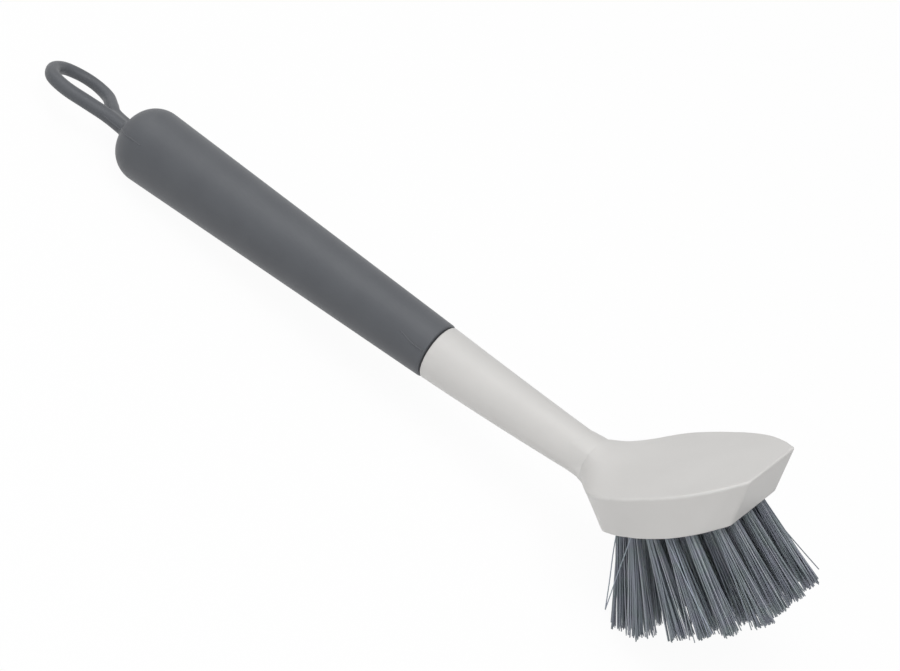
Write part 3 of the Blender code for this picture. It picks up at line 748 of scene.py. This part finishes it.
def tube_rings(path):
    """Rings of points round a path that never runs straight sideways."""
    sideways = np.array(ACROSS)
    run = np.gradient(path, axis=0)
    run /= np.linalg.norm(run, axis=1)[:, None]
    first = sideways - run * (run @ sideways)[:, None]
    first /= np.linalg.norm(first, axis=1)[:, None]
    second = np.cross(run, first)
    angles = np.linspace(0.0, 2.0 * np.pi, STRAND_SIDES, endpoint=False)
    circle = (first[:, None] * np.cos(angles)[None, :, None]
              + second[:, None] * np.sin(angles)[None, :, None])
    return path[:, None] + circle * STRAND_RADIUS


def strands_piece(name, strands, material):
    """A piece of strands, from the rings of points round each."""
    faces, first = [], 0
    for rings in strands:
        faces += tube_faces(len(rings), STRAND_SIDES, first)
        first += len(rings) * STRAND_SIDES
    return mesh_piece(name, np.concatenate(strands).reshape(-1, 3), faces, material)


def scattered(chance, size):
    """A random step of about a size, in each of two directions."""
    return np.array((chance.gauss(0, 1), chance.gauss(0, 1))) * size


def make_tuft(number, tuft, material, chance):
    """One tuft of strands, each folded in two round the tuft's anchor."""
    place, row, share = tuft
    turn = np.array(place.to_3x3())
    mouth = np.array(place.translation)
    floor = np.array((LYING @ place)[2])
    splay = math.radians(ROW_SPLAY_DEGREES[row])
    tuft_lean = scattered(chance, math.tan(TUFT_SCATTER))
    tuft_lean[0] -= math.tan(math.radians(ROW_LEAN_AHEAD_DEGREES[row]))
    tuft_lean[1] -= math.tan(math.radians(ROW_STRAIGHTENING_DEGREES[row])) * share
    strands = []
    for across, beside in bundle_places():
        ends = []
        for side in (1.0, -1.0):
            wild = chance.random() < WILD_STRAND_SHARE
            scatter = WILD_STRAND_SCATTER if wild else STRAND_SCATTER
            lean = tuft_lean + scattered(chance, math.tan(scatter))
            bow = scattered(chance, STRAND_BOW)
            length = STRAND_LENGTH + chance.uniform(-1, 1) * LENGTH_SCATTER
            ends.append(strand_end((across * side, beside), splay, lean, bow, length, floor))
        path = np.concatenate([ends[0][::-1], folded_part((across, beside)), ends[1]])
        strands.append(tube_rings(path) @ turn.T + mouth)
    piece = strands_piece(f"bristles_{number:02d}", strands, material)
    dress(piece, "bristles", f"tuft_{number:02d}")


def make_loose_strands(material):
    strands = [tube_rings(along_curve(knots, LOOSE_DIVISIONS)) for knots in LOOSE_STRANDS]
    dress(strands_piece("bristles_loose", strands, material), "bristles")


# Materials, whose colours on a ramp are stops of (place, colour)

GRIP_GREYS = ((0.3, (0.072, 0.077, 0.087)), (0.7, (0.081, 0.087, 0.097)))
DUST_COLOUR = (0.45, 0.46, 0.48, 1.0)
DUST_EDGE_FADE = (0.03, 0.05)
DUST_CHOICE_FADE = (0.93, 0.95)
DUST_SHARE = 0.5
HEAD_GREYS = ((0.3, (0.595, 0.585, 0.571)), (0.7, (0.617, 0.607, 0.593)))
# The head's sharp edges carry a painted highlight, a paler colour where the surface is this sharp
# and this far along the lying brush
PAINTED_HIGHLIGHT_COLOUR = (0.70, 0.69, 0.675, 1.0)
PAINTED_HIGHLIGHT_SHARPNESS = (0.525, 0.575)
PAINTED_HIGHLIGHT_FADE = (0.0680, 0.0740)
BRISTLE_GREYS = (
    (0.0, (0.098, 0.112, 0.131)), (0.45, (0.165, 0.187, 0.215)), (0.8, (0.225, 0.248, 0.276)),
    (1.0, (0.37, 0.39, 0.415)),
)
BRISTLE_TINTS = ((0.35, (0.93, 1.0, 0.96)), (0.65, (1.0, 0.97, 1.05)))
WIRE_GREYS = ((0.3, (0.56, 0.56, 0.54)), (0.7, (0.66, 0.66, 0.64)))


def new_material(name, **inputs):
    """A material and its shader, with plain values set on the shader's own sockets."""
    material = bpy.data.materials.new(name)
    material.use_nodes = True
    shader = material.node_tree.nodes["Principled BSDF"]
    for socket, value in inputs.items():
        shader.inputs[socket.replace("_", " ")].default_value = value
    return material, shader


def add_node(owner, kind, **settings):
    """A node of a material or a world, with its sockets and settings given by name."""
    node = owner.node_tree.nodes.new(kind)
    for key, value in settings.items():
        if key in node.inputs:
            node.inputs[key].default_value = value
        else:
            setattr(node, key, value)
    return node


def feed(owner, source, socket):
    """Fill a socket from another node's output, or with a plain value."""
    if isinstance(source, bpy.types.NodeSocket):
        owner.node_tree.links.new(source, socket)
    else:
        socket.default_value = source


def computed(owner, operation, first, second):
    """Result of a sum on two values."""
    node = add_node(owner, "ShaderNodeMath", operation=operation)
    feed(owner, first, node.inputs[0])
    feed(owner, second, node.inputs[1])
    return node.outputs["Value"]


def mixed(material, first, second, factor, blend="MIX"):
    """A second colour mixed into a first."""
    node = add_node(material, "ShaderNodeMix", data_type="RGBA", blend_type=blend)
    colours = [socket for socket in node.inputs if socket.type == "RGBA"]
    for source, socket in zip((first, second, factor), (*colours, node.inputs["Factor"])):
        feed(material, source, socket)
    return next(socket for socket in node.outputs if socket.type == "RGBA")


def object_places(material):
    """Places in the object's own coordinates."""
    return add_node(material, "ShaderNodeTexCoord").outputs["Object"]


def place_noise(material, scale, detail=3.0, roughness=0.5):
    """Noise in the object's own coordinates, whose grain is 1/scale metres."""
    noise = add_node(material, "ShaderNodeTexNoise", Scale=scale, Detail=detail,
                     Roughness=roughness)
    feed(material, object_places(material), noise.inputs["Vector"])
    return noise.outputs["Fac"]


def ramp(material, source, *stops):
    """Colour ramp over a value, from stops of (place, colour)."""
    node = add_node(material, "ShaderNodeValToRGB")
    elements = node.color_ramp.elements
    while len(elements) < len(stops):
        elements.new(0.5)
    for element, (place, colour) in zip(elements, stops):
        element.position = place
        element.color = (*colour, 1.0)
    feed(material, source, node.inputs["Fac"])
    return node.outputs["Color"]


def spread(material, source, low, high, start=0.3, end=0.7):
    """A value carried from one range to another."""
    node = add_node(material, "ShaderNodeMapRange")
    for source_part, name in ((start, "From Min"), (end, "From Max"), (low, "To Min"),
                              (high, "To Max"), (source, "Value")):
        feed(material, source_part, node.inputs[name])
    return node.outputs["Result"]


def add_grain(material, shader, grain, low, high):
    """Roughness that follows a grain, from low to high."""
    feed(material, spread(material, grain, low, high), shader.inputs["Roughness"])


def add_bump(material, shader, height, strength, distance):
    bump = add_node(material, "ShaderNodeBump", Strength=strength, Distance=distance)
    feed(material, height, bump.inputs["Height"])
    feed(material, bump.outputs["Normal"], shader.inputs["Normal"])


def soft_grip_material():
    """Matt soft plastic: faint mottling, a fine skin, and a few specks of dust."""
    material, shader = new_material("grip_soft_plastic", Sheen_Weight=0.08, Sheen_Roughness=0.5)
    base = ramp(material, place_noise(material, scale=90.0), *GRIP_GREYS)
    dust = add_node(material, "ShaderNodeTexVoronoi", Scale=260.0, feature="F1")
    feed(material, object_places(material), dust.inputs["Vector"])
    speck = spread(material, dust.outputs["Distance"], 1.0, 0.0, *DUST_EDGE_FADE)
    chosen = spread(material, dust.outputs["Color"], 0.0, DUST_SHARE, *DUST_CHOICE_FADE)
    amount = computed(material, "MULTIPLY", speck, chosen)
    feed(material, mixed(material, base, DUST_COLOUR, amount), shader.inputs["Base Color"])
    skin = place_noise(material, scale=4200.0, detail=2.0)
    add_grain(material, shader, skin, 0.46, 0.58)
    add_bump(material, shader, skin, strength=0.35, distance=0.00004)
    return material


def hard_head_material():
    """Satin moulded plastic, a warm light grey, with a painted highlight on the head's sharp edges.
    """
    material, shader = new_material("head_hard_plastic")
    base = ramp(material, place_noise(material, scale=60.0), *HEAD_GREYS)
    # Painted highlight: a paler colour mixed in where the head's rim and front edges are sharp
    geometry = add_node(material, "ShaderNodeNewGeometry")
    edge = spread(material, geometry.outputs["Pointiness"], 0.0, 1.0, *PAINTED_HIGHLIGHT_SHARPNESS)
    places = add_node(material, "ShaderNodeSeparateXYZ")
    feed(material, object_places(material), places.inputs["Vector"])
    at_head = spread(material, places.outputs["X"], 0.0, 1.0, *PAINTED_HIGHLIGHT_FADE)
    painted_highlight = computed(material, "MULTIPLY", edge, at_head)
    feed(material, mixed(material, base, PAINTED_HIGHLIGHT_COLOUR, painted_highlight), shader.inputs["Base Color"])
    skin = place_noise(material, scale=2600.0, detail=2.0)
    add_grain(material, shader, skin, 0.40, 0.50)
    add_bump(material, shader, skin, strength=0.12, distance=0.00003)
    return material


def bristle_material(name, paleness):
    """Smooth nylon strands, each its own grey, with patches that lean to blue or to green."""
    material, shader = new_material(name)
    geometry = add_node(material, "ShaderNodeNewGeometry")
    stops = [(place, tuple(channel * paleness for channel in grey))
             for place, grey in BRISTLE_GREYS]
    grey = ramp(material, geometry.outputs["Random Per Island"], *stops)
    tint = ramp(material, place_noise(material, scale=260.0, detail=1.0), *BRISTLE_TINTS)
    feed(material, mixed(material, grey, tint, 1.0, "MULTIPLY"), shader.inputs["Base Color"])
    add_grain(material, shader, place_noise(material, scale=900.0, detail=2.0), 0.30, 0.46)
    return material


def anchor_material():
    """Plain drawn wire, with fine lines."""
    material, shader = new_material("anchor_wire", Metallic=1.0)
    lines = place_noise(material, scale=5000.0, detail=2.0)
    feed(material, ramp(material, lines, *WIRE_GREYS), shader.inputs["Base Color"])
    add_grain(material, shader, lines, 0.28, 0.42)
    return material


# Stage

WHITE = (1.0, 1.0, 1.0, 1.0)
FLOOR_HALF = 3.0
FLOOR_COLOUR = (0.90, 0.90, 0.90, 1.0)
FLOOR_OWN_LIGHT_SHARE = 0.95
WORLD_STRENGTH = 0.38
LAMP_AIM = Vector((0.0, 0.0, 0.02))
LAMP_SIZE = 0.9
LAMPS = (
    # name, place, strength
    ("key", (0.05, -0.30, 1.20), 6.5),
    ("back", (-0.80, 0.10, 0.85), 3.1),
    ("fill", (0.50, -0.90, 0.70), 2.9),
)


def white_to_camera(owner, shaded, white, share, ending):
    """End in a shaded result, mixed with a share of plain white where the camera, a gloss or a
    clear body sees it."""
    path = add_node(owner, "ShaderNodeLightPath").outputs
    by_gloss = computed(owner, "MAXIMUM", path["Is Glossy Ray"], path["Is Transmission Ray"])
    seen = computed(owner, "MAXIMUM", path["Is Camera Ray"], by_gloss)
    mix = add_node(owner, "ShaderNodeMixShader")
    feed(owner, computed(owner, "MULTIPLY", seen, share), mix.inputs["Fac"])
    feed(owner, shaded, mix.inputs[1])
    feed(owner, white, mix.inputs[2])
    feed(owner, mix.outputs["Shader"], owner.node_tree.nodes[ending].inputs["Surface"])


def make_floor():
    mesh = bpy.data.meshes.new("floor")
    corners = [(x * FLOOR_HALF, y * FLOOR_HALF, 0.0)
               for x, y in ((-1, -1), (1, -1), (1, 1), (-1, 1))]
    mesh.from_pydata(corners, [], [(0, 1, 2, 3)])
    material, shader = new_material("floor_white", Roughness=0.9, Base_Color=FLOOR_COLOUR)
    white = add_node(material, "ShaderNodeEmission")
    white_to_camera(material, shader.outputs["BSDF"], white.outputs["Emission"],
                    FLOOR_OWN_LIGHT_SHARE, "Material Output")
    mesh.materials.append(material)
    floor = add_object("floor", mesh)


def make_world():
    world = bpy.data.worlds.new("studio")
    world.use_nodes = True
    soft = world.node_tree.nodes["Background"]
    soft.inputs["Color"].default_value = WHITE
    soft.inputs["Strength"].default_value = WORLD_STRENGTH
    plain = add_node(world, "ShaderNodeBackground", Color=WHITE)
    white_to_camera(world, soft.outputs["Background"], plain.outputs["Background"], 1.0,
                    "World Output")
    bpy.context.scene.world = world


def make_lamps():
    for name, place, strength in LAMPS:
        light = bpy.data.lights.new(name, "AREA")
        light.shape = "DISK"
        light.size = LAMP_SIZE
        light.energy = strength
        lamp = add_object(name, light)
        lamp.location = place
        lamp.rotation_euler = (LAMP_AIM - Vector(place)).to_track_quat("-Z", "Y").to_euler()


def make_camera():
    data = bpy.data.cameras.new("camera")
    data.sensor_width = CAMERA_SENSOR_MM
    data.lens = CAMERA_LENS_MM
    data.clip_start, data.clip_end = CAMERA_CLIP
    camera = add_object("camera", data)
    turn = Matrix.Rotation(CAMERA_TURN[2], 4, "Z") @ Matrix.Rotation(CAMERA_TURN[1], 4, "Y")
    turn = turn @ Matrix.Rotation(CAMERA_TURN[0], 4, "X")
    camera.matrix_world = LYING @ Matrix.Translation(CAMERA_PLACE) @ turn
    bpy.context.scene.camera = camera


def main():
    grip = soft_grip_material()
    head = hard_head_material()
    bristle = bristle_material("bristle_nylon", 1.0)
    wire = anchor_material()
    make_camera()
    make_world()
    make_lamps()
    make_floor()
    make_grip(grip)
    make_parting_lines(grip)
    make_loop_line(grip)
    make_head(head)
    chance = random.Random(RANDOM_SEED)
    for number, tuft in enumerate(TUFTS, start=1):
        make_tuft(number, tuft, bristle, chance)
    make_loose_strands(bristle_material("bristle_nylon_pale", LOOSE_PALENESS))
    for name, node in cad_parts.items():
        if name.startswith("anchor_"):
            node.data.materials.clear()
            node.data.materials.append(wire)
    bpy.context.scene.view_settings.view_transform = "Standard"


main()
